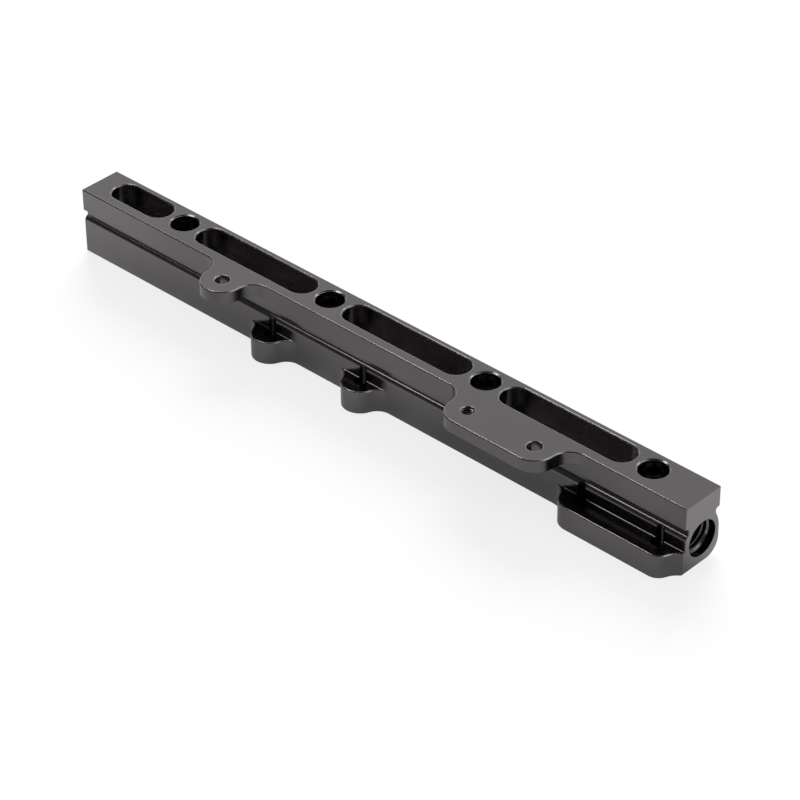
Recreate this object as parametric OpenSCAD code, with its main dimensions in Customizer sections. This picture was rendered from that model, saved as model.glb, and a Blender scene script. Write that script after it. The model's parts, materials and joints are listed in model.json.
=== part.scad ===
// Fuel rail for a four-cylinder engine, machined from one aluminium bar.
// X runs along the rail, +Y is the plain side, -Y the side with the lug, the pad and the bosses.
// The origin lies on the underside, at mid-length, straight below the fuel gallery.

/* [Injectors] */
// Number of injector sockets
injector_count = 4; // [2:1:6]
// Distance from one injector to the next
injector_pitch = 94; // [86:1:110]
// Distance from the left end to the first injector
left_margin = 57; // [40:1:80]
// Distance from the last injector to the right end
right_margin = 28; // [26:1:60]
// Distance of the injector line from the gallery, towards the plain side
injector_offset = 0.9; // [0:0.1:1.2]
// Bore of a socket, which the injector's O-ring seals in
socket_d = 13.5; // [11:0.1:14]
// Depth of a socket
socket_depth = 10.5; // [8:0.1:11]
// How far the lead-in cone widens the socket on each side
lead_in_w = 0.65; // [0.3:0.05:1]
// Height of the lead-in cone
lead_in_h = 0.5; // [0.3:0.1:3]
// Feed hole from the socket down to the gallery
feed_d = 8; // [4:0.5:10]

/* [Section] */
// Height of the rail
rail_h = 34; // [33:0.5:40]
// Width of the block that holds the sockets
block_w = 22.6; // [22:0.1:28]
// Height of the block on the boss side
block_h = 11.3; // [10.5:0.1:12]
// Height of the block on the plain side
block_far_h = 10.5; // [9.5:0.1:12]
// How far the block sits off the gallery line, towards the bosses
block_shift = 0.3; // [0:0.1:1]
// Depth of the groove under the block, each side
groove_depth = 2.3; // [2.1:0.1:2.6]
// Radius at the root of the groove on the boss side
groove_r = 1.9; // [0.8:0.1:2]
// Radius at the root of the groove on the plain side
groove_far_r = 1.2; // [0.8:0.1:1.8]
// Width of the lower body
body_w = 22.4; // [20:0.1:24]
// Height of the lower body's shoulder on the boss side
shoulder_h = 19.5; // [18:0.1:20]
// Radius of that shoulder
shoulder_r = 3; // [2.5:0.1:4.5]
// Radius of the lower body's flank on the plain side, above the gallery line
flank_r = 16; // [14:0.5:20]
// Radius of the lower body's rounded edge on the plain side
belly_r = 8; // [4:0.5:10]
// Chamfer on the block's, the flanges' and the bosses' edges
edge_chamfer = 0.45; // [0.2:0.05:0.8]
// Chamfer on the block's lower edges
under_chamfer = 0.2; // [0.1:0.05:0.3]
// Chamfer around the rail's two ends
end_chamfer = 0.25; // [0.1:0.05:1]

/* [Gallery and ports] */
// Diameter of the fuel gallery
gallery_d = 13; // [10:0.5:13.5]
// Height of the gallery's axis above the underside
gallery_h = 12.6; // [11.5:0.1:13]
// Nominal diameter of the port thread
port_d = 16; // [14:0.5:17]
// Length of the port thread
port_len = 14; // [10:0.5:18]
// Diameter of the plain mouth in front of the thread
mouth_d = 17.5; // [17.1:0.1:19]
// Depth of the plain mouth
mouth_depth = 3.5; // [1:0.5:5]

/* [Pockets] */
// Width of the pockets between the sockets
pocket_w = 14.1; // [8:0.1:15]
// Depth of the pockets
pocket_depth = 9.5; // [4:0.5:10]
// Web between a pocket's end and the rim of a socket
pocket_web = 3; // [2:0.1:6]
// Distance of the first pocket from the left end
pocket_margin = 10.5; // [6:0.5:16]
// Chamfer on the rim of a pocket
pocket_chamfer = 0.5; // [0.1:0.05:0.7]

/* [Lug and pad] */
// Thickness of the lug and the pad
flange_t = 6.3; // [4:0.1:8]
// Distance of the flange holes from the injector line
flange_reach = 21.6; // [20:0.1:28]
// Radius of a flange's rounded end
flange_r = 10.5; // [8:0.1:12]
// Radius of the blend between a flange and the block
flange_blend = 9; // [4:0.5:10]
// Clearance hole for a mounting screw
screw_hole_d = 6.8; // [5:0.1:8.5]
// Distance from the pad's clearance hole to its tapped hole
pad_spacing = 38; // [30:0.5:60]
// Nominal diameter of the pad's tapped hole
pad_thread_d = 6; // [4:0.5:8]
// Chamfer on the rim of a small hole
hole_chamfer = 0.35; // [0.1:0.05:0.6]

/* [Bosses] */
// Height of the bosses
boss_h = 11.5; // [8:0.1:12]
// Distance of the boss holes from the gallery line
boss_reach = 13.2; // [13:0.1:16]
// Radius of a boss's rounded end
boss_r = 8.8; // [7:0.1:10]
// Radius of the blend between a boss and the body
boss_blend = 7.7; // [4:0.1:9]
// Nominal diameter of a boss's tapped hole
boss_thread_d = 6; // [4:0.5:7]
// Distance of the first small boss from the left end
small_boss_1 = 126; // [110:0.1:140]
// Distance from the first small boss to the second
small_boss_spacing = 56.8; // [45:0.1:70]
// Distance between the long boss's two holes
long_boss_spacing = 43.1; // [30:0.1:60]
// Distance of the long boss's second hole from the right end
long_boss_margin = 13.3; // [12:0.1:40]
// How far the long boss's square end reaches past its hole before it turns
long_boss_tail = 3; // [0:0.1:4]
// Corner radius at the long boss's square end
long_boss_corner_r = 6.4; // [3:0.1:7]
// Radius of the blend at the long boss's square end
long_boss_end_blend = 10; // [3:0.1:11]
// Fillet between a boss's top and the body
root_fillet = 0.6; // [0.3:0.05:1]

/* [Hidden] */
$fn = 96;
eps = 0.01;
hair = 0.001;
cut = 1;

rail_len = left_margin + (injector_count - 1) * injector_pitch + right_margin;
left_end = -rail_len / 2;
right_end = rail_len / 2;

block_near = -block_w / 2 - block_shift;
block_far = block_w / 2 - block_shift;
block_z = rail_h - block_h;
block_far_z = rail_h - block_far_h;
neck_near = block_near + groove_depth;
neck_far = block_far - groove_depth;
body_near = -body_w / 2;
body_far = body_w / 2;
gallery_r = gallery_d / 2;

rim_r = socket_d / 2 + lead_in_w;
flange_y = injector_offset - flange_reach;
flange_z = rail_h - flange_t;
boss_y = -boss_reach;
boss_tip_y = boss_y - boss_r;

lug_x = (injector_x(0) + injector_x(1)) / 2;
pad_x = (injector_x(injector_count - 2) + injector_x(injector_count - 1)) / 2;
pad_thread_x = pad_x - pad_spacing;
small_boss_x = [left_end + small_boss_1, left_end + small_boss_1 + small_boss_spacing];
long_boss_x2 = right_end - long_boss_margin;
long_boss_x1 = long_boss_x2 - long_boss_spacing;
long_corner_x = long_boss_x2 + long_boss_tail;
long_corner_y = boss_tip_y + long_boss_corner_r;
long_boss_end = blend_centre([long_corner_x, long_corner_y], long_boss_corner_r, body_near,
                             long_boss_end_blend, 1);
long_boss_end_y = long_boss_end[0] <= right_end ? body_near
    : long_boss_end[1] + sqrt(pow(long_boss_end_blend, 2) - pow(long_boss_end[0] - right_end, 2));
boss_holes_x = concat(small_boss_x, [long_boss_x1, long_boss_x2]);

function injector_x(i) = left_end + left_margin + i * injector_pitch;

// Centre of the blend circle between a round end at c and a wall at wall_y
// (side is -1 for the blend on the left, 1 for the one on the right)
function blend_centre(c, r, wall_y, blend, side) =
    [c[0] + side * sqrt(pow(r + blend, 2) - pow(c[1] - wall_y + blend, 2)), wall_y - blend];

// How far inside a blend the boss's top is wide enough to carry the root fillet
function bead_inset(blend) = sqrt(pow(blend, 2) - pow(blend - root_fillet - edge_chamfer, 2));

// Lays a section drawn in Y and Z along X, from x1 to x2
module along_x(x1, x2) {
    translate([x1, 0, 0])
        rotate([90, 0, 90])
            linear_extrude(height = x2 - x1)
                children();
}

// A rectangle from x1, y1 to x2, y2 whose two lower and two upper corners may be cut
function cut_rect(x1, y1, x2, y2, low, high) = concat(
    low > 0 ? [[x1, y1 + low], [x1 + low, y1], [x2 - low, y1], [x2, y1 + low]]
            : [[x1, y1], [x2, y1]],
    high > 0 ? [[x2, y2 - high], [x2 - high, y2], [x1 + high, y2], [x1, y2 - high]]
             : [[x2, y2], [x1, y2]]);

// A bar over the whole rail, with the chamfers of its ends on the near, far, low and high side
module bar(y1, y2, z1, z2, near = 0, far = 0, low = 0, high = 0) {
    intersection() {
        translate([0, 0, z1])
            linear_extrude(height = z2 - z1)
                polygon(cut_rect(left_end, y1, right_end, y2, near, far));
        translate([0, y2, 0])
            rotate([90, 0, 0])
                linear_extrude(height = y2 - y1)
                    polygon(cut_rect(left_end, z1, right_end, z2, low, high));
    }
}

// A round bar over the whole rail, with chamfered ends
module rod(y, z, r) {
    translate([left_end, y, z])
        rotate([0, 90, 0]) {
            cylinder(r1 = r - end_chamfer, r2 = r, h = end_chamfer);
            translate([0, 0, end_chamfer])
                cylinder(r = r, h = rail_len - 2 * end_chamfer);
            translate([0, 0, rail_len - end_chamfer])
                cylinder(r1 = r, r2 = r - end_chamfer, h = end_chamfer);
        }
}

// A round cut over the whole rail, which widens at the ends
module round_cut(y, z, r) {
    flare = end_chamfer + cut;
    translate([left_end, y, z])
        rotate([0, 90, 0]) {
            translate([0, 0, -cut])
                cylinder(r1 = r + flare, r2 = r, h = flare);
            translate([0, 0, -cut])
                cylinder(r = r, h = rail_len + 2 * cut);
            translate([0, 0, rail_len - end_chamfer])
                cylinder(r1 = r, r2 = r + flare, h = flare);
        }
}

// The block on top, with its four long edges chamfered; its underside steps inside the waist
module block() {
    c = end_chamfer;
    intersection() {
        union() {
            bar(block_near, 1, block_z, rail_h, near = c, low = c, high = c);
            bar(0, block_far, block_far_z, rail_h, far = c, low = c, high = c);
        }
        along_x(left_end, right_end)
            polygon([
                [block_near + under_chamfer, block_z],
                [0.5, block_z],
                [0.5, block_far_z],
                [block_far - under_chamfer, block_far_z],
                [block_far, block_far_z + under_chamfer],
                [block_far, rail_h - edge_chamfer],
                [block_far - edge_chamfer, rail_h],
                [block_near + edge_chamfer, rail_h],
                [block_near, rail_h - edge_chamfer],
                [block_near, block_z + under_chamfer]
            ]);
    }
}

// The waist between the grooves, rounded where it meets the block
module neck() {
    inner = end_chamfer + eps;
    bar(neck_near, neck_far, gallery_h, max(block_z, block_far_z) + inner,
        near = end_chamfer, far = end_chamfer);
    difference() {
        bar(neck_near - groove_r, neck_near + inner, block_z - groove_r, block_z + inner);
        round_cut(neck_near - groove_r, block_z - groove_r, groove_r);
    }
    difference() {
        bar(neck_far - inner, neck_far + groove_far_r, block_far_z - groove_far_r, block_far_z + inner);
        round_cut(neck_far + groove_far_r, block_far_z - groove_far_r, groove_far_r);
    }
}

// The lower body: an upright wall with a round shoulder on the boss side, an arched flank
// and a round lower edge on the plain side
module body() {
    wall_top = shoulder_h - shoulder_r;
    bar(body_near, body_far - belly_r, 0, wall_top, near = end_chamfer, low = end_chamfer);
    rod(body_near + shoulder_r, wall_top, shoulder_r);
    intersection() {
        rod(body_far - flank_r, gallery_h, flank_r);
        bar(0, body_far + cut, gallery_h, block_far_z);
    }
    bar(0, body_far, belly_r, gallery_h, far = end_chamfer);
    rod(body_far - belly_r, belly_r, belly_r);
}

// A round end with a chamfered top edge
module round_end(c, r, h) {
    translate([c[0], c[1], 0])
        cylinder(r = r, h = h - edge_chamfer);
    translate([c[0], c[1], h - edge_chamfer])
        cylinder(r1 = r, r2 = r - edge_chamfer, h = edge_chamfer);
}

// A straight run between two round ends, from tip_y back to back_y
module straight_run(x1, x2, tip_y, back_y, h) {
    along_x(x1, x2)
        polygon([[back_y, 0], [tip_y, 0], [tip_y, h - edge_chamfer], [tip_y + edge_chamfer, h],
                 [back_y, h]]);
}

// The concave blend between a round end and the wall behind it; its cut runs a hair into both
module side_blend(c, r, wall_y, back_y, blend, side, h) {
    b = blend_centre(c, r, wall_y, blend, side);
    cut_r = blend + hair;
    difference() {
        linear_extrude(height = h)
            polygon([[c[0], back_y], [b[0], back_y], b, c]);
        translate([b[0], b[1], -cut])
            cylinder(r = cut_r, h = h + 2 * cut);
        translate([b[0], b[1], h - edge_chamfer])
            cylinder(r1 = cut_r, r2 = cut_r + edge_chamfer + cut, h = edge_chamfer + cut);
    }
}

// Mounting lug with one clearance hole
module lug() {
    c = [lug_x, flange_y];
    back_y = block_near + 2 * edge_chamfer;
    translate([0, 0, flange_z]) {
        round_end(c, flange_r, flange_t);
        for (side = [-1, 1])
            side_blend(c, flange_r, block_near, back_y, flange_blend, side, flange_t);
    }
}

// Mounting pad with one clearance hole and one tapped hole
module pad() {
    c1 = [pad_thread_x, flange_y];
    c2 = [pad_x, flange_y];
    back_y = block_near + 2 * edge_chamfer;
    translate([0, 0, flange_z]) {
        round_end(c1, flange_r, flange_t);
        round_end(c2, flange_r, flange_t);
        straight_run(c1[0], c2[0], flange_y - flange_r, back_y, flange_t);
        side_blend(c1, flange_r, block_near, back_y, flange_blend, -1, flange_t);
        side_blend(c2, flange_r, block_near, back_y, flange_blend, 1, flange_t);
    }
}

// Small boss on the foot of the rail
module small_boss(x) {
    c = [x, boss_y];
    back_y = body_near + edge_chamfer;
    round_end(c, boss_r, boss_h);
    for (side = [-1, 1])
        side_blend(c, boss_r, body_near, back_y, boss_blend, side, boss_h);
    root_bead(blend_centre(c, boss_r, body_near, boss_blend, -1)[0] + bead_inset(boss_blend),
              blend_centre(c, boss_r, body_near, boss_blend, 1)[0] - bead_inset(boss_blend));
}

// Long boss with two holes: round on the left, square with a rounded corner on the right
module long_boss() {
    c1 = [long_boss_x1, boss_y];
    c2 = [long_corner_x, long_corner_y];
    back_y = body_near + edge_chamfer;
    round_end(c1, boss_r, boss_h);
    round_end(c2, long_boss_corner_r, boss_h);
    straight_run(c1[0], c2[0], boss_tip_y, back_y, boss_h);
    side_blend(c1, boss_r, body_near, back_y, boss_blend, -1, boss_h);
    side_blend(c2, long_boss_corner_r, body_near, back_y, long_boss_end_blend, 1, boss_h);
    root_bead(blend_centre(c1, boss_r, body_near, boss_blend, -1)[0] + bead_inset(boss_blend),
              min(long_boss_end[0] - bead_inset(long_boss_end_blend), right_end - 2 * end_chamfer));
}

// Clears what the long boss has past the rail's right end, and chamfers its edge there
module end_trim() {
    c = end_chamfer;
    translate([right_end, -rail_len, -cut])
        cube([rail_len, rail_len, rail_h]);
    translate([right_end, body_near + cut, 0])
        rotate([90, 0, 0])
            linear_extrude(height = rail_len)
                polygon([[-c - cut, -cut], [cut, -cut], [cut, c + cut]]);
    translate([right_end, long_boss_end_y, -cut])
        linear_extrude(height = boss_h + 2 * cut)
            polygon([[cut, c + cut], [-c - cut, -cut], [cut, -cut]]);
}

// Fillet between a boss's top and the wall of the body, from x1 to x2
module root_bead(x1, x2) {
    along_x(x1, x2)
        difference() {
            translate([body_near - root_fillet, boss_h - eps])
                square([root_fillet + edge_chamfer, root_fillet + eps]);
            translate([body_near - root_fillet, boss_h + root_fillet])
                circle(r = root_fillet);
        }
}

// Injector socket with its lead-in, and the feed hole into the gallery
module socket(x) {
    translate([x, injector_offset, rail_h]) {
        translate([0, 0, -socket_depth])
            cylinder(d = socket_d, h = socket_depth + cut);
        translate([0, 0, -lead_in_h])
            cylinder(r1 = socket_d / 2, r2 = rim_r, h = lead_in_h);
        translate([0, 0, -eps])
            cylinder(r = rim_r, h = cut);
        translate([0, 0, gallery_h - rail_h])
            cylinder(d = feed_d, h = rail_h - gallery_h - socket_depth + eps);
    }
}

// Blind pocket between x1 and x2
module pocket(x1, x2) {
    r = pocket_w / 2;
    translate([0, injector_offset, rail_h]) {
        translate([x1 + r, -r, -pocket_depth])
            cube([x2 - x1 - pocket_w, pocket_w, pocket_depth + cut]);
        along_rim(x1 + r, x2 - r, r);
        for (x = [x1 + r, x2 - r])
            translate([x, 0, 0]) {
                translate([0, 0, -pocket_depth])
                    cylinder(r = r, h = pocket_depth + cut);
                translate([0, 0, -pocket_chamfer])
                    cylinder(r1 = r, r2 = r + pocket_chamfer + cut, h = pocket_chamfer + cut);
            }
    }
}

// The straight part of a pocket's chamfer
module along_rim(x1, x2, r) {
    along_x(x1, x2)
        polygon([[-r, -pocket_chamfer], [r, -pocket_chamfer], [r + pocket_chamfer + cut, cut],
                 [-r - pocket_chamfer - cut, cut]]);
}

// Hole through a flange, with a chamfered rim
module flange_hole(x, d) {
    translate([x, flange_y, flange_z - cut])
        cylinder(d = d, h = flange_t + 2 * cut);
    translate([x, flange_y, rail_h - hole_chamfer])
        cylinder(r1 = d / 2, r2 = d / 2 + hole_chamfer + cut, h = hole_chamfer + cut);
}

// Tapped hole up through a boss: it breaks out of the body's flank and ends in the groove
module boss_hole(x) {
    r = boss_thread_d / 2;
    translate([x, boss_y, -cut])
        cylinder(r = r, h = block_z - edge_chamfer + cut);
    translate([x, boss_y, -cut])
        cylinder(r1 = r + hole_chamfer + cut, r2 = r, h = hole_chamfer + cut);
}

// Port at one end of the gallery: a plain mouth, a lead-in cone, then the thread's bore
module port(side) {
    lead_in = (mouth_d - port_d) / 2;
    translate([side * rail_len / 2, 0, gallery_h])
        rotate([0, side * 90, 0]) {
            translate([0, 0, -mouth_depth])
                cylinder(d = mouth_d, h = mouth_depth + cut);
            translate([0, 0, -mouth_depth - lead_in])
                cylinder(r1 = port_d / 2, r2 = mouth_d / 2, h = lead_in);
            translate([0, 0, -mouth_depth - port_len])
                cylinder(d = port_d, h = port_len + eps);
        }
}

// Everything that stands, before it is drilled
module blank() {
    block();
    neck();
    body();
    lug();
    pad();
    for (x = small_boss_x)
        small_boss(x);
    difference() {
        long_boss();
        end_trim();
    }
}

// The finished rail
module rail_body() {
    color("#3c3b3d")
        difference() {
            blank();
            for (i = [0 : injector_count - 1])
                socket(injector_x(i));
            pocket(left_end + pocket_margin, injector_x(0) - rim_r - pocket_web);
            for (i = [0 : injector_count - 2])
                pocket(injector_x(i) + rim_r + pocket_web, injector_x(i + 1) - rim_r - pocket_web);
            translate([left_end + mouth_depth, 0, gallery_h])
                rotate([0, 90, 0])
                    cylinder(r = gallery_r, h = rail_len - 2 * mouth_depth);
            port(-1);
            port(1);
            flange_hole(lug_x, screw_hole_d);
            flange_hole(pad_x, screw_hole_d);
            flange_hole(pad_thread_x, pad_thread_d);
            for (x = boss_holes_x)
                boss_hole(x);
        }
}

rail_body();
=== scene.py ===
"""Looks for the fuel rail: black anodised aluminium on a white studio floor."""
import json
import math

import bmesh
import bpy
from mathutils import Matrix, Vector


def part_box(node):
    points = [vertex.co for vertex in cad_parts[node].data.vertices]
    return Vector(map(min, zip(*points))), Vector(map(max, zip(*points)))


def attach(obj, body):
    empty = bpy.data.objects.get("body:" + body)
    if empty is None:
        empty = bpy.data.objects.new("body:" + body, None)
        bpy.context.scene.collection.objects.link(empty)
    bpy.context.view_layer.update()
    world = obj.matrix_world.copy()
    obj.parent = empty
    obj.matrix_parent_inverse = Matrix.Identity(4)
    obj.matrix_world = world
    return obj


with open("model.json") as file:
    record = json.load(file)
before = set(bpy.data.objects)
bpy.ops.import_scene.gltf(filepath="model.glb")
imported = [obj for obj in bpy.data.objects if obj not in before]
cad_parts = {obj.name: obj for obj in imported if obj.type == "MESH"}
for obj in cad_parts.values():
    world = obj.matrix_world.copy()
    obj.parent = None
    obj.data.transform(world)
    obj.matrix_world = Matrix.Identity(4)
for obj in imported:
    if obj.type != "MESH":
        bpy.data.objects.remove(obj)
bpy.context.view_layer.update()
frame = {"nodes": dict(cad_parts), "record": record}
MM = 0.001
BODY = "root"
rail = frame["nodes"]["rail_body"]
mounts = {mount["name"]: mount for mount in frame["record"]["mounts"]}


def hole_pair(name):
    """The places along the rail of a pair of screw holes."""
    middle = mounts[name]["pos_m"][0]
    half = mounts[name]["dims"]["spacing_x_mm"] / 2 * MM
    return middle - half, middle + half


# Places and sizes on the rail, in metres in the frame.
END_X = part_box("rail_body")[1].x
BOSS_X = (*hole_pair("small_boss_threads"), *hole_pair("long_boss_threads"))
BOSS_Y = mounts["small_boss_threads"]["pos_m"][1]
BOSS_H = 11.5 * MM
WALL_Y = -11.2 * MM
WALL_TOP = 16.5 * MM
SHOULDER_R = 3.0 * MM
GALLERY_Z = mounts["port_right"]["pos_m"][2]
PAD_THREAD_X, PAD_THREAD_Y = mounts["pad_thread"]["pos_m"][:2]
PORT_R, PORT_PITCH = mounts["port_right"]["dims"]["r_mm"] * MM, 1.5 * MM
SCREW_R, SCREW_PITCH = mounts["pad_thread"]["dims"]["r_mm"] * MM, 1.0 * MM

# Where the ridges start and end: from the rail's end in a port, else the height.
PORT_SPAN = (4.3 * MM, 17.0 * MM)
PAD_SPAN = (27.9 * MM, 33.7 * MM)
BOSS_SPAN = (0.4 * MM, 18.9 * MM)

# A metric thread's ridge, as shares of its pitch, and how deep its foot sits in the metal.
RIDGE_DEPTH = 0.5413
FOOT_HALF = 0.4375
CREST_HALF = 0.125
FOOT_SUNK = 0.03 * MM

# The turns over which a ridge rises and fades, the share it starts at and the least it keeps.
RISE_TURNS, FADE_TURNS = 0.5, 0.25
FIRST_SHARE, LEAST_SHARE = 0.05, 0.04

# Tip radii that leave a ridge whole or cut it away.
WHOLE, GONE = 0.0, 1.0

# The metal: dyed; on the thread ridges, dyed and painted darker as shade in the holes; and where
# the dye is thin.
DYED = (0.172, 0.1635, 0.170)
RIDGE_SHADED = (0.115, 0.11, 0.112)
WORN = (0.72, 0.685, 0.635)
DYED_ROUGHNESS = (0.19, 0.25)
RIDGE_ROUGHNESS = (0.24, 0.31)
GRAIN_SCALE = (60.0, 2600.0, 2600.0)
EDGE_ROUND = 0.30 * MM
EDGE_REACH = 0.5 * MM

# The spans over which the metal's masks change. Lengths are in metres in the frame.
EDGE_DEPTH = (0.96, 0.82)  # How open the metal is behind a flat, and behind an edge.
FACES_UP = (0.1, 0.35)  # The upward part of the normal on a worn edge.
LIES_FLAT = (0.85, 0.95)  # The same on a flat top, for the painted shade on the boss tops.
NEAR_ENDS = (END_X - 0.6 * MM, END_X - 0.5 * MM)  # From mid-length.
HOLE_RIM = (SCREW_R + 0.25 * MM, SCREW_R + 0.5 * MM)  # From the axis of a boss's hole.
HOLE_WALL = (0.03 * MM, 0.06 * MM)  # From the wall of a boss's hole.
HOLE_TOP = (22.0 * MM, 22.5 * MM)  # The height at which those two masks end.
BOSS_TOP = (0.1 * MM, 0.15 * MM)  # From the height of the boss tops, which get painted shade.
LIP_FOOT = (17.8 * MM, 18.2 * MM)  # The height of the shoulder's lip.
LIP_TOP = (21.5 * MM, 22.0 * MM)
LIP_X = (60.0 * MM, 100.0 * MM)  # Along the rail.
PAINTED_GLINT_SPAN = (12.0 * MM, 13.0 * MM)  # The height below which worn edges are painted brighter, a painted highlight on the boss rims.
PATCHES = (0.35, 0.65)  # The clouds' values between which wear changes.
NOISE = (0.3, 0.7)  # The values that a noise has nearly everywhere.

# The studio, in metres.
FLOOR_STEP, FLOOR_STEPS = 0.008, 45
FLOOR_FAR = [0.4, 0.46, 0.53, 0.61, 0.7, 0.82, 1.0, 1.3, 1.8, 2.6, 4.0]
FLOOR_COLOUR = (0.85, 0.85, 0.85, 1)
FLOOR_SEEN = (0.20, 0.195, 0.20, 1)
FLOOR_LIFT = 0.785
WORLD_FILL = 0.58
TENT_R = 3.5
TENT_FOOT = -0.05
TENT_DUSK = (0.080, 0.073, 0.066)
SOFTBOX_X, SOFTBOX_Y, SOFTBOX_Z = (-0.47, -0.15), (-0.36, 0.01), 0.6
SOFTBOX_COLOUR = (1, 0.97, 0.92, 1)
WHITE = (1, 1, 1, 1)

# The camera that took the photo: the directions of its axes, its place and its lens.
CAMERA_RIGHT = (0.7288905, 0.6845893, -0.0074892)
CAMERA_DOWN = (0.3931631, -0.4275108, -0.8140376)
CAMERA_AHEAD = (-0.5604831, 0.5903999, -0.5807638)
CAMERA_PLACE_MM = (845.833, -879.327, 864.88)
CAMERA_LENS, CAMERA_SENSOR = 99.99, 24.0
CAMERA_FAR = 50.0


# Helpers for shader nodes.
def new_material(name):
    material = bpy.data.materials.new(name)
    material.use_nodes = True
    tree = material.node_tree
    tree.nodes.clear()
    return material, tree


def put(tree, socket, value):
    """Links another node's output to a socket, or sets the socket to a plain value."""
    if isinstance(value, bpy.types.NodeSocket):
        tree.links.new(value, socket)
    else:
        socket.default_value = value


def add(tree, kind, inputs=None, **settings):
    node = tree.nodes.new(kind)
    for key, value in settings.items():
        setattr(node, key, value)
    for key, value in (inputs or {}).items():
        put(tree, node.inputs[key], value)
    return node


def math_node(tree, operation, a, b=0.0, clamp=False):
    node = add(tree, "ShaderNodeMath", {0: a, 1: b}, operation=operation, use_clamp=clamp)
    return node.outputs[0]


def vector_node(tree, operation, inputs, output="Vector"):
    return add(tree, "ShaderNodeVectorMath", inputs, operation=operation).outputs[output]


def product(tree, first, *others):
    for other in others:
        first = math_node(tree, "MULTIPLY", first, other)
    return first


def distance(tree, value, goal):
    return math_node(tree, "ABSOLUTE", math_node(tree, "SUBTRACT", value, goal))


def map_range(tree, value, span, to=(0.0, 1.0)):
    node = add(tree, "ShaderNodeMapRange", {
        "Value": value, "From Min": span[0], "From Max": span[1], "To Min": to[0], "To Max": to[1]})
    return node.outputs["Result"]


def noise(tree, place, scale, detail, roughness):
    return add(tree, "ShaderNodeTexNoise", {
        "Vector": place, "Scale": scale, "Detail": detail, "Roughness": roughness}).outputs["Fac"]


def mix_values(tree, data_type, factor, first, second):
    """Mixes two vectors or two colours, whose sockets have numbers of their own."""
    a, b, result = {"VECTOR": (4, 5, 1), "RGBA": (6, 7, 2)}[data_type]
    node = add(tree, "ShaderNodeMix", {"Factor": factor, a: first, b: second}, data_type=data_type)
    return node.outputs[result]


def mix_shaders(tree, factor, first, second):
    return add(tree, "ShaderNodeMixShader", {"Fac": factor, 1: first, 2: second}).outputs[0]


def emission(tree, colour, strength):
    node = add(tree, "ShaderNodeEmission", {"Color": colour, "Strength": strength})
    return node.outputs[0]


def surface(tree, shader, kind="ShaderNodeOutputMaterial"):
    add(tree, kind, {"Surface": shader})


# The metal.
def edge_mask(tree):
    """1 along outer edges, where little metal lies within reach behind the surface."""
    inside = add(tree, "ShaderNodeAmbientOcclusion", {"Distance": EDGE_REACH}, samples=32,
                 inside=True, only_local=True).outputs["AO"]
    return map_range(tree, inside, EDGE_DEPTH)


def boss_hole_masks(tree, place, z):
    """Two masks about the bosses' tapped holes: 0 inside each rim, and 0 on each wall."""
    plan = vector_node(tree, "MULTIPLY", {0: place, 1: (1, 1, 0)})
    above = map_range(tree, z, HOLE_TOP)
    off_holes, off_walls = 1.0, 1.0
    for x in BOSS_X:
        away = vector_node(tree, "DISTANCE", {0: plan, 1: (x, BOSS_Y, 0)}, "Value")
        clear = map_range(tree, away, HOLE_RIM)
        off_holes = product(tree, off_holes, math_node(tree, "MAXIMUM", clear, above))
        clear = map_range(tree, distance(tree, away, SCREW_R), HOLE_WALL)
        off_walls = product(tree, off_walls, math_node(tree, "MAXIMUM", clear, above))
    return off_holes, off_walls


def rise_of(tree, normal):
    """How far a normal points up in the rail's own frame."""
    local = add(tree, "ShaderNodeVectorTransform", {"Vector": normal}, vector_type="NORMAL",
                convert_from="WORLD", convert_to="OBJECT").outputs["Vector"]
    return add(tree, "ShaderNodeSeparateXYZ", {"Vector": local}).outputs["Z"]


def wear_mask(tree, spot, rise, edge, cloud):
    """Where the dye is thin: patchy, on edges that face up, less on the lip at the right."""
    off_ends = map_range(tree, math_node(tree, "ABSOLUTE", spot["X"]), NEAR_ENDS, (1.0, 0.0))
    lip = product(tree, map_range(tree, spot["Z"], LIP_FOOT),
                  map_range(tree, spot["Z"], LIP_TOP, (1.0, 0.0)),
                  map_range(tree, spot["X"], LIP_X, (0.0, 0.8)))
    upward = product(tree, map_range(tree, rise, FACES_UP),
                     math_node(tree, "SUBTRACT", 1.0, lip))
    patchy = map_range(tree, cloud, PATCHES, (0.75, 1.0))
    exposed = product(tree, edge, off_ends, upward)
    return math_node(tree, "MULTIPLY", exposed, patchy, clamp=True)


def tone_and_shade_of(tree, spot, rise, cloud, speck, off_holes):
    """Brightness of the dye: nearly even at random, with painted shade darkening the tapped holes
    and the boss tops.
    """
    off_top = distance(tree, spot["Z"], BOSS_H)
    boss_top_shade = product(tree, map_range(tree, rise, LIES_FLAT),
                       map_range(tree, off_top, BOSS_TOP, (1.0, 0.0)))
    return product(tree, map_range(tree, cloud, NOISE, (0.96, 1.04)),
                   map_range(tree, speck, NOISE, (0.97, 1.03)),
                   # Painted shade: the tapped holes down to a quarter, the boss tops to about a
                   # third.
                   map_range(tree, off_holes, (0.0, 1.0), (0.25, 1.0)),
                   map_range(tree, boss_top_shade, (0.0, 1.0), (1.0, 0.35)))


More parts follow.
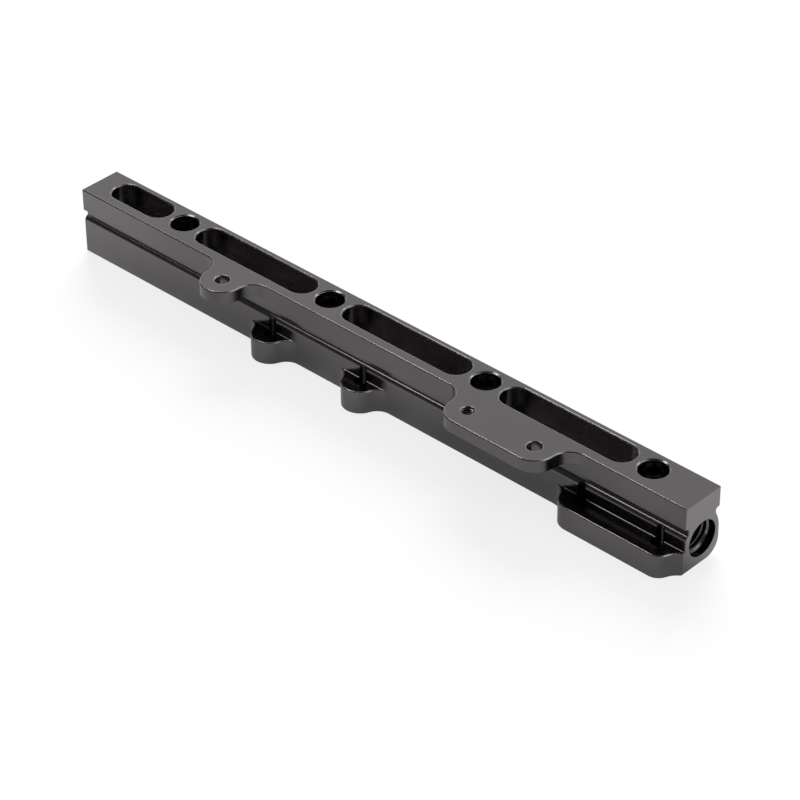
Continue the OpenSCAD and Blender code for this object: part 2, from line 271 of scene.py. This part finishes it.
def anodised(name, base, wear, roughness, ridges=False):
    """Black anodised aluminium: milled grain, cloudy gloss, thin dye along the edges, painted shade
    in the tapped holes and on the boss tops, and a painted highlight on the low worn edges.
    """
    material, tree = new_material(name)
    place = add(tree, "ShaderNodeTexCoord").outputs["Object"]
    spot = add(tree, "ShaderNodeSeparateXYZ", {"Vector": place}).outputs
    along = add(tree, "ShaderNodeMapping", {"Vector": place, "Scale": GRAIN_SCALE})
    grain = noise(tree, along.outputs["Vector"], scale=1.0, detail=2.0, roughness=0.5)
    cloud = noise(tree, place, scale=38.0, detail=3.0, roughness=0.55)
    speck = noise(tree, place, scale=1900.0, detail=2.0, roughness=0.6)

    true_normal = add(tree, "ShaderNodeNewGeometry").outputs["Normal"]
    bevel = add(tree, "ShaderNodeBevel", {"Radius": EDGE_ROUND}, samples=16)
    soft_normal = bevel.outputs["Normal"]
    rise = rise_of(tree, soft_normal)
    off_holes, off_walls = boss_hole_masks(tree, place, spot["Z"])
    edge = 0.0 if ridges else product(tree, edge_mask(tree), off_holes)
    worn = wear_mask(tree, spot, rise, edge, cloud)

    # Random tone of the dye, with painted shade in the holes and on the boss tops.
    tone_and_shade = tone_and_shade_of(tree, spot, rise, cloud, speck, off_holes if ridges else off_walls)
    dark = vector_node(tree, "SCALE", {0: base, "Scale": tone_and_shade})
    # Painted highlight: the worn edges low on the bosses are made about a third brighter than bare
    # metal.
    painted_glint = map_range(tree, spot["Z"], PAINTED_GLINT_SPAN, (1.35, 1.0))
    bare_and_glint = vector_node(tree, "SCALE", {0: wear, "Scale": painted_glint})
    colour = mix_values(tree, "RGBA", worn, dark, bare_and_glint)
    gloss = math_node(tree, "ADD", map_range(tree, cloud, NOISE, roughness),
                      map_range(tree, speck, NOISE, (-0.01, 0.01)))

    turned = mix_values(tree, "VECTOR", edge, true_normal, soft_normal)
    height = math_node(tree, "ADD", grain, product(tree, speck, 0.5))
    bump = add(tree, "ShaderNodeBump", {
        "Strength": 0.05, "Distance": 0.02 * MM, "Height": height,
        "Normal": vector_node(tree, "NORMALIZE", {0: turned})}).outputs["Normal"]
    shader = add(tree, "ShaderNodeBsdfPrincipled", {
        "Base Color": colour, "Metallic": 1.0, "Roughness": gloss, "Normal": bump})
    surface(tree, shader.outputs["BSDF"])
    return material


metal = anodised("black_anodised", DYED, WORN, DYED_ROUGHNESS)
# The threads' metal is painted darker as shade, since the threads sit in holes.
shaded_thread_metal = anodised("black_anodised_thread_shaded", RIDGE_SHADED, RIDGE_SHADED, RIDGE_ROUGHNESS, ridges=True)
rail.data.materials.clear()
rail.data.materials.append(metal)


# The threads.
def link(name, data):
    piece = bpy.data.objects.new(name, data)
    bpy.context.scene.collection.objects.link(piece)
    return piece


def close_run(bm, run):
    """Joins a run of ridge sections into one closed form and empties the run."""
    if len(run) >= 2:
        for ring, following in zip(run, run[1:]):
            for k in range(4):
                after = (k + 1) % 4
                bm.faces.new((ring[k], ring[after], following[after], following[k]))
        bm.faces.new(reversed(run[0]))
        bm.faces.new(run[-1])
    run.clear()


def thread_piece(name, origin, axis, across, major_r, pitch, span, tip_of, steps=64):
    """Ridges of an inner thread: a trapezoid swept along a helix.

    tip_of gives the least radius that a tip may reach at an angle and a place along the axis.
    """
    origin, axis, across = Vector(origin), Vector(axis), Vector(across)
    other = axis.cross(across)
    depth = RIDGE_DEPTH * pitch
    foot_half, crest_half = FOOT_HALF * pitch, CREST_HALF * pitch
    foot_r = major_r + FOOT_SUNK
    count = int((span[1] - span[0] - 2 * foot_half) / pitch * steps)
    bm = bmesh.new()
    run = []
    for i in range(count + 1):
        angle = 2 * math.pi * i / steps
        along = span[0] + foot_half + pitch * i / steps
        fade = min(1.0, i / (RISE_TURNS * steps), (count - i) / (FADE_TURNS * steps))
        tip = max(major_r - depth * max(fade, FIRST_SHARE), tip_of(angle, along))
        share = (major_r - tip) / depth
        if share < LEAST_SHARE:
            close_run(bm, run)
            continue
        radial = across * math.cos(angle) + other * math.sin(angle)
        tip_half = foot_half + (crest_half - foot_half) * share
        corners = ((foot_r, -foot_half), (tip, -tip_half), (tip, tip_half), (foot_r, foot_half))
        run.append([bm.verts.new(origin + radial * r + axis * (along + shift))
                    for r, shift in corners])
    close_run(bm, run)
    bmesh.ops.recalc_face_normals(bm, faces=bm.faces)
    mesh = bpy.data.meshes.new(name)
    bm.to_mesh(mesh)
    bm.free()
    mesh.materials.append(shaded_thread_metal)
    mesh.polygons.foreach_set("use_smooth", [True] * len(mesh.polygons))
    mesh.set_sharp_from_angle(angle=math.radians(40))
    piece = link(name, mesh)
    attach(piece, BODY)


def whole_ridge(angle, z):
    return WHOLE


def wall_ridge(angle, z):
    """Keeps the ridges above a boss flush with the rail's wall and shoulder."""
    cover, sideways = 0.3 * MM, 0.05
    if z < BOSS_H - cover:
        return WHOLE
    toward = math.cos(angle)
    if toward <= sideways:
        return GONE
    up = min(max(z - WALL_TOP, 0.0), SHOULDER_R)
    wall = WALL_Y + SHOULDER_R - math.sqrt(SHOULDER_R ** 2 - up ** 2)
    return (wall - BOSS_Y) / toward


for label, side in (("left", -1), ("right", 1)):
    thread_piece("port_thread_" + label, (side * END_X, 0, GALLERY_Z), (-side, 0, 0), (0, 1, 0),
                 PORT_R, PORT_PITCH, PORT_SPAN, whole_ridge, steps=96)
thread_piece("pad_thread", (PAD_THREAD_X, PAD_THREAD_Y, 0), (0, 0, 1), (1, 0, 0),
             SCREW_R, SCREW_PITCH, PAD_SPAN, whole_ridge)
for i, x in enumerate(BOSS_X, 1):
    thread_piece(f"boss_thread_{i}", (x, BOSS_Y, 0), (0, 0, 1), (0, 1, 0),
                 SCREW_R, SCREW_PITCH, BOSS_SPAN, wall_ridge)


# Curves that the studio's light follows.
def smooth(value, low, high):
    """Rises softly from 0 at low to 1 at high."""
    t = min(max((value - low) / (high - low), 0.0), 1.0)
    return t * t * (3 - 2 * t)


def band(value, low, full_low, full_high, high):
    """1 between the two middle values, and softly down to 0 at the outer two."""
    return smooth(value, low, full_low) * (1 - smooth(value, full_high, high))


def bell(value, middle, width):
    return math.exp(-((value - middle) / width) ** 2)


def floor_glow(x, y):
    """Brightness of the floor as the rail's gloss sees it: painted shadows in front of the rail, of
    the pad and the lug and beside the bosses, and dim far away.
    """
    front = smooth(-y, -0.012, 0.012) * band(x, -0.29, -0.09, 0.19, 0.26)
    foot = front * (1 - smooth(-y, 0.014, 0.04))
    pad_shadow = band(x, 0.01, 0.05, 0.10, 0.14) * (1 - smooth(-y, 0.035, 0.06))
    lug_shadow = bell(x, -0.07, 0.03)
    right = smooth(x, 0.12, 0.17)
    nook_shadow = front * sum(bell(x - boss, 0.012, 0.009) for boss in BOSS_X[:2])
    nook_shadow *= 1 - smooth(-y, 0.016, 0.034)
    away = smooth(-y, 0.055, 0.15)
    near = 1.0 - 0.42 * front - 0.17 * foot
    shade = (1 - 0.28 * front * pad_shadow) * (1 - 0.12 * lug_shadow) * (1 - 0.13 * front * right)
    return near * shade * (1 - 0.68 * away) * (1 - 0.3 * min(nook_shadow, 1.0))


def tent_colour(d):
    """Colour of the studio tent in a direction from the rail."""
    behind = smooth(d.y, -0.15, 0.25) * (1 - smooth(d.z, 0.72, 0.85))
    side = 0.77 - 0.18 * (d.x + 0.556)
    overhead = (band(d.x, -0.80, -0.66, -0.42, -0.28) * band(d.y, -0.55, -0.42, 0.04, 0.16)
                * smooth(d.z, 0.6, 0.70))
    right = smooth(d.x, 0.45, 0.68) * smooth(d.y, -0.3, 0.1) * smooth(d.z, 0.5, 0.66)
    rim = (band(d.x, 0.05, 0.2, 0.40, 0.50) * smooth(d.y, 0.55, 0.65)
           * band(d.z, 0.42, 0.48, 0.62, 0.70))
    light = side * behind + 0.45 * overhead + 1.3 * right + 2.2 * rim
    return [dusk * (1 - behind) + light for dusk in TENT_DUSK]


# The studio.
def paint_glow(mesh, colour_at):
    """Keeps at each vertex the light that gloss sees there."""
    layer = mesh.color_attributes.new("glow", "FLOAT_COLOR", "POINT")
    for entry, vertex in zip(layer.data, mesh.vertices):
        entry.color = (*colour_at(vertex.co), 1)


def painted_glow(tree):
    colour = add(tree, "ShaderNodeAttribute", attribute_name="glow").outputs["Color"]
    return emission(tree, colour, 1.0)


def finish_piece(name, mesh, material):
    """Puts a piece of the studio in the scene. Its glow isn't sampled as a lamp."""
    material.cycles.emission_sampling = "NONE"
    mesh.materials.append(material)
    return link(name, mesh)


def only_gloss(piece):
    """Leaves a piece of the studio to the rail's gloss alone."""
    piece.visible_camera = False
    piece.visible_diffuse = False
    piece.visible_shadow = False
    piece.visible_transmission = False


def make_floor():
    """A white floor: the camera sees it lifted to white, and gloss sees its painted glow."""
    half = [FLOOR_STEP * i for i in range(FLOOR_STEPS)] + FLOOR_FAR
    line = [-v for v in reversed(half[1:])] + half
    count = len(line)
    corners = [j * count + i for j in range(count - 1) for i in range(count - 1)]
    mesh = bpy.data.meshes.new("studio_floor")
    mesh.from_pydata([(x, y, 0) for y in line for x in line], [],
                     [(k, k + 1, k + count + 1, k + count) for k in corners])
    paint_glow(mesh, lambda co: [floor_glow(co.x, co.y)] * 3)
    material, tree = new_material("studio_floor")
    path = add(tree, "ShaderNodeLightPath").outputs
    plain = add(tree, "ShaderNodeBsdfDiffuse", {"Color": FLOOR_COLOUR}).outputs[0]
    seen = add(tree, "ShaderNodeBsdfDiffuse", {"Color": FLOOR_SEEN}).outputs[0]
    lifted = add(tree, "ShaderNodeAddShader", {0: seen, 1: emission(tree, WHITE, FLOOR_LIFT)})
    shader = mix_shaders(tree, path["Is Camera Ray"], plain, lifted.outputs[0])
    surface(tree, mix_shaders(tree, path["Is Glossy Ray"], shader, painted_glow(tree)))
    floor = finish_piece("studio_floor", mesh, material)


def make_world():
    """A plain fill, and white for rays from the camera, from gloss or through glass."""
    world = bpy.data.worlds.new("studio")
    bpy.context.scene.world = world
    world.use_nodes = True
    tree = world.node_tree
    tree.nodes.clear()
    path = add(tree, "ShaderNodeLightPath").outputs
    white = math_node(tree, "MAXIMUM", path["Is Camera Ray"], path["Is Glossy Ray"])
    white = math_node(tree, "MAXIMUM", white, path["Is Transmission Ray"])
    fill = add(tree, "ShaderNodeBackground", {"Color": WHITE, "Strength": WORLD_FILL}).outputs[0]
    back = add(tree, "ShaderNodeBackground", {"Color": WHITE, "Strength": 1.0}).outputs[0]
    surface(tree, mix_shaders(tree, white, fill, back), "ShaderNodeOutputWorld")


def make_tent():
    """A tent around the set that only gloss sees: bright behind, dark on the camera's side."""
    bm = bmesh.new()
    bmesh.ops.create_uvsphere(bm, u_segments=128, v_segments=64, radius=TENT_R)
    bmesh.ops.bisect_plane(bm, geom=bm.verts[:] + bm.edges[:] + bm.faces[:],
                           plane_co=(0, 0, TENT_FOOT), plane_no=(0, 0, 1), clear_inner=True)
    mesh = bpy.data.meshes.new("studio_tent")
    bm.to_mesh(mesh)
    bm.free()
    paint_glow(mesh, lambda co: tent_colour(co.normalized()))
    material, tree = new_material("studio_tent")
    surface(tree, painted_glow(tree))
    only_gloss(finish_piece("studio_tent", mesh, material))


def make_softbox(strength):
    """A soft light above the set, near enough that only part of the rail shows it."""
    (x1, x2), (y1, y2), z = SOFTBOX_X, SOFTBOX_Y, SOFTBOX_Z
    mesh = bpy.data.meshes.new("studio_softbox")
    mesh.from_pydata([(x1, y1, z), (x2, y1, z), (x2, y2, z), (x1, y2, z)], [], [(0, 1, 2, 3)])
    material, tree = new_material("studio_softbox")
    surface(tree, emission(tree, SOFTBOX_COLOUR, strength))
    only_gloss(finish_piece("studio_softbox", mesh, material))


def sun_light(name, azimuth, elevation, spread, strength):
    """A far, wide lamp; it shades the floor, and gloss sees the tent in its place."""
    data = bpy.data.lights.new(name, "SUN")
    data.angle = math.radians(spread)
    data.energy = strength
    lamp = link(name, data)
    az, el = math.radians(azimuth), math.radians(elevation)
    toward = Vector((math.cos(az) * math.cos(el), math.sin(az) * math.cos(el), math.sin(el)))
    lamp.rotation_euler = (-toward).to_track_quat("-Z", "Y").to_euler()
    lamp.visible_glossy = False


def make_camera():
    data = bpy.data.cameras.new("camera")
    data.sensor_width = CAMERA_SENSOR
    data.lens = CAMERA_LENS
    data.clip_end = CAMERA_FAR
    camera = link("camera", data)
    right, down, ahead = Vector(CAMERA_RIGHT), Vector(CAMERA_DOWN), Vector(CAMERA_AHEAD)
    turn = Matrix((right, -down, -ahead)).transposed().to_4x4()
    camera.matrix_world = Matrix.Translation(Vector(CAMERA_PLACE_MM) * MM) @ turn
    bpy.context.scene.camera = camera


make_camera()
make_floor()
make_world()
make_tent()
make_softbox(strength=4.5)
sun_light("key", azimuth=128, elevation=30, spread=40, strength=4.2)
bpy.context.scene.view_settings.view_transform = "Standard"
